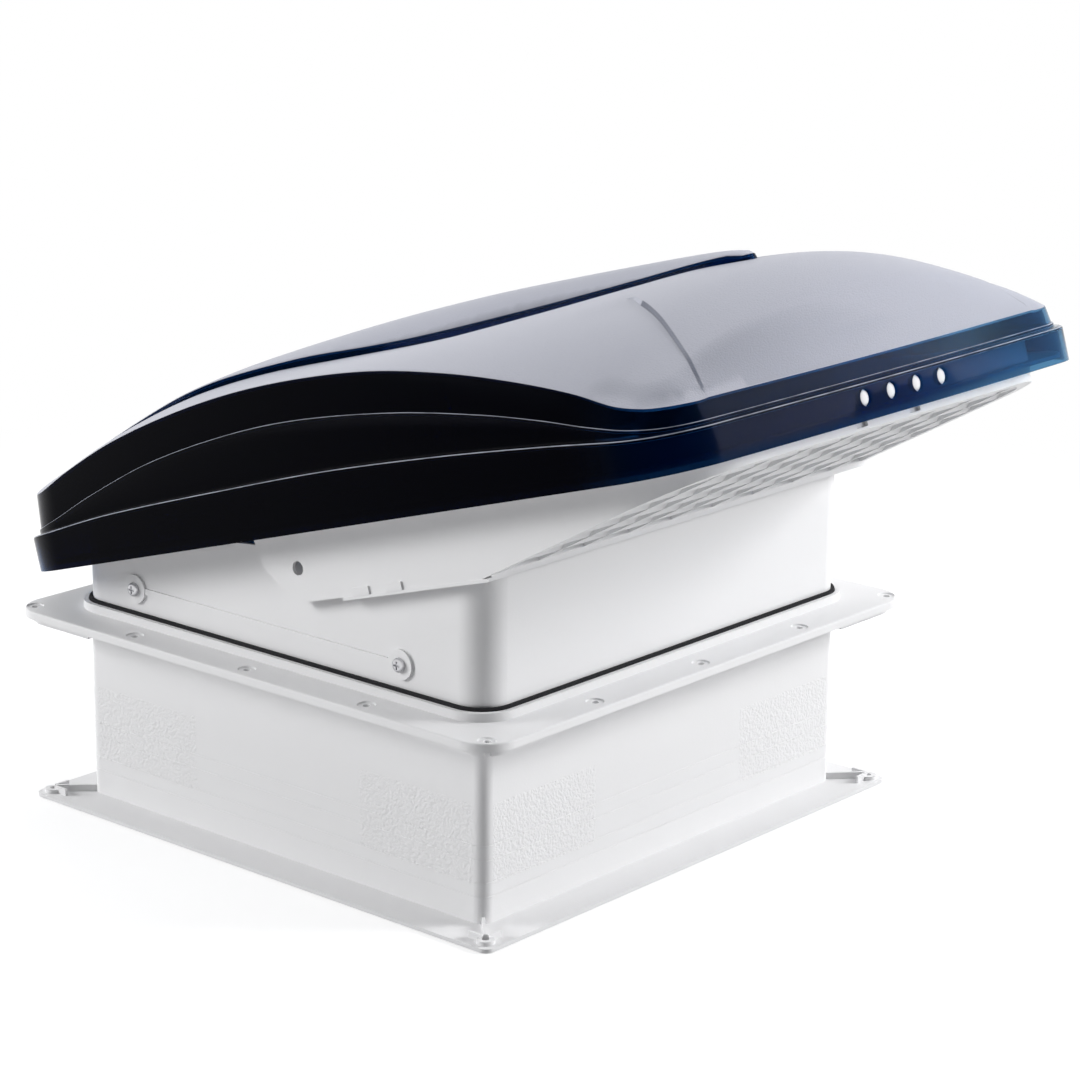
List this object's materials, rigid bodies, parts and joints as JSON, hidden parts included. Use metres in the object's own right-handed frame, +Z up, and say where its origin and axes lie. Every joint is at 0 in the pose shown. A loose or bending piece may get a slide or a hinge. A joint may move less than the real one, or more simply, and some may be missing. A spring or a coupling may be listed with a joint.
{
  "type": "caravan roof vent",
  "caption": "Square roof vent with a ducted fan, a hinged translucent lid raised by geared arms, a louvred hood, and a ceiling trim with a screen and controls.",
  "frame": {"origin": "middle of the ceiling trim's four screw holes, on the trim's bottom face", "axes": "+Z up through the roof, +X to the end of the lid that rises, +Y to the side with the controls"},
  "size_m": [0.5776, 0.419, 0.3934],
  "materials": {
    "white_plastic": "fine satin",
    "blue_plastic": "translucent, satin on top and glossy at the sides",
    "black_foam": "closed-cell foam",
    "zinc_steel": "zinc plated",
    "pale_nylon": "moulded",
    "grey_plastic": "satin",
    "black_plastic": "satin",
    "black_metal": "painted",
    "dark_mesh": "woven",
    "dark_window": "glossy",
    "green_board": "lacquered"
  },
  "bodies": {
    "base": {"ceiling_trim": "white_plastic", "roof_flange": "white_plastic", "body": "white_plastic", "fan_shroud": "white_plastic", "screen_frame": "white_plastic", "control_fascia": "white_plastic", "control_house": "white_plastic", "shaft_blocks": "white_plastic", "worm_bracket": "white_plastic", "flange_gasket": "black_foam", "body_screws": "zinc_steel", "shroud_screws": "zinc_steel", "spider_screws": "zinc_steel", "fascia_screws": "zinc_steel", "hinge_pins": "zinc_steel", "fan_motor": "black_metal", "motor_spider": "black_plastic", "insect_mesh": "dark_mesh", "display_window": "dark_window", "circuit_board": "green_board", "key_switches": "black_plastic", "thermostat_sensor": "black_plastic", "cable_gland": "black_plastic"},
    "lid_group": {"lid": "blue_plastic", "hood": "white_plastic", "louvre_panel": "white_plastic", "hood_screws": "zinc_steel", "rail_screws": "zinc_steel", "left_rail": "white_plastic", "right_rail": "white_plastic"},
    "lift_group": {"lift_shaft": "zinc_steel", "left_arm": "zinc_steel", "right_arm": "zinc_steel", "arm_pins": "zinc_steel", "worm_wheel": "pale_nylon"},
    "left_roller_group": {"left_roller": "pale_nylon"},
    "right_roller_group": {"right_roller": "pale_nylon"},
    "worm_group": {"worm_shaft": "zinc_steel", "lift_knob": "grey_plastic"},
    "fan_group": {"fan_rotor": "black_plastic", "motor_shaft": "zinc_steel", "fan_nut": "zinc_steel"},
    "screen_knob_group_1": {"screen_knob_1": "grey_plastic"},
    "screen_knob_group_2": {"screen_knob_2": "grey_plastic"},
    "screen_knob_group_3": {"screen_knob_3": "grey_plastic"},
    "screen_knob_group_4": {"screen_knob_4": "grey_plastic"},
    "button_group_1": {"button_1": "grey_plastic"},
    "button_group_2": {"button_2": "grey_plastic"},
    "button_group_3": {"button_3": "grey_plastic"},
    "button_group_4": {"button_4": "grey_plastic"},
    "button_group_5": {"button_5": "grey_plastic"},
    "button_group_6": {"button_6": "grey_plastic"}
  },
  "joints": [
    {"name": "lid_hinge", "type": "hinge", "parent": "base", "child": "lid_group", "pos_m": [-0.0976, 0, 0.18], "axis": [0, 1, 0], "range_deg": [0, 16.67]},
    {"name": "lift_turn", "type": "hinge", "parent": "base", "child": "lift_group", "pos_m": [0.02, 0, 0.193], "axis": [0, 1, 0], "range_deg": [0, 36.26]},
    {"name": "worm_turn", "type": "hinge", "parent": "base", "child": "worm_group", "pos_m": [0.047, 0.154, 0.1], "axis": [0, 0, 1], "range_deg": [0, 1088]},
    {"name": "left_roller_turn", "type": "hinge", "parent": "lift_group", "child": "left_roller_group", "pos_m": [0.09032, 0, 0.27758], "axis": [0, 1, 0], "continuous": true},
    {"name": "right_roller_turn", "type": "hinge", "parent": "lift_group", "child": "right_roller_group", "pos_m": [0.09032, 0, 0.27758], "axis": [0, 1, 0], "continuous": true},
    {"name": "fan_turn", "type": "hinge", "parent": "base", "child": "fan_group", "pos_m": [0, 0, 0.15], "axis": [0, 0, 1], "continuous": true},
    {"name": "screen_knob_turn_1", "type": "hinge", "parent": "base", "child": "screen_knob_group_1", "pos_m": [-0.1595, -0.11, 0.005], "axis": [0, 0, 1], "range_deg": [0, 90]},
    {"name": "screen_knob_turn_2", "type": "hinge", "parent": "base", "child": "screen_knob_group_2", "pos_m": [0.1595, -0.11, 0.005], "axis": [0, 0, 1], "range_deg": [0, 90]},
    {"name": "screen_knob_turn_3", "type": "hinge", "parent": "base", "child": "screen_knob_group_3", "pos_m": [0.1595, 0.055, 0.005], "axis": [0, 0, 1], "range_deg": [0, 90]},
    {"name": "screen_knob_turn_4", "type": "hinge", "parent": "base", "child": "screen_knob_group_4", "pos_m": [-0.1595, 0.055, 0.005], "axis": [0, 0, 1], "range_deg": [0, 90]},
    {"name": "button_press_1", "type": "slide", "parent": "base", "child": "button_group_1", "axis": [0, 0, 1], "range_m": [0, 0.0007], "stiffness_N_per_m": 200, "springref_m": -0.001},
    {"name": "button_press_2", "type": "slide", "parent": "base", "child": "button_group_2", "axis": [0, 0, 1], "range_m": [0, 0.0007], "stiffness_N_per_m": 200, "springref_m": -0.001},
    {"name": "button_press_3", "type": "slide", "parent": "base", "child": "button_group_3", "axis": [0, 0, 1], "range_m": [0, 0.0007], "stiffness_N_per_m": 200, "springref_m": -0.001},
    {"name": "button_press_4", "type": "slide", "parent": "base", "child": "button_group_4", "axis": [0, 0, 1], "range_m": [0, 0.0007], "stiffness_N_per_m": 200, "springref_m": -0.001},
    {"name": "button_press_5", "type": "slide", "parent": "base", "child": "button_group_5", "axis": [0, 0, 1], "range_m": [0, 0.0007], "stiffness_N_per_m": 200, "springref_m": -0.001},
    {"name": "button_press_6", "type": "slide", "parent": "base", "child": "button_group_6", "axis": [0, 0, 1], "range_m": [0, 0.0007], "stiffness_N_per_m": 200, "springref_m": -0.001}
  ],
  "couplings": [
    {"joint": "lift_turn", "follows": "lid_hinge", "ratio": 2.1749},
    {"joint": "worm_turn", "follows": "lid_hinge", "ratio": 65.247}
  ]
}
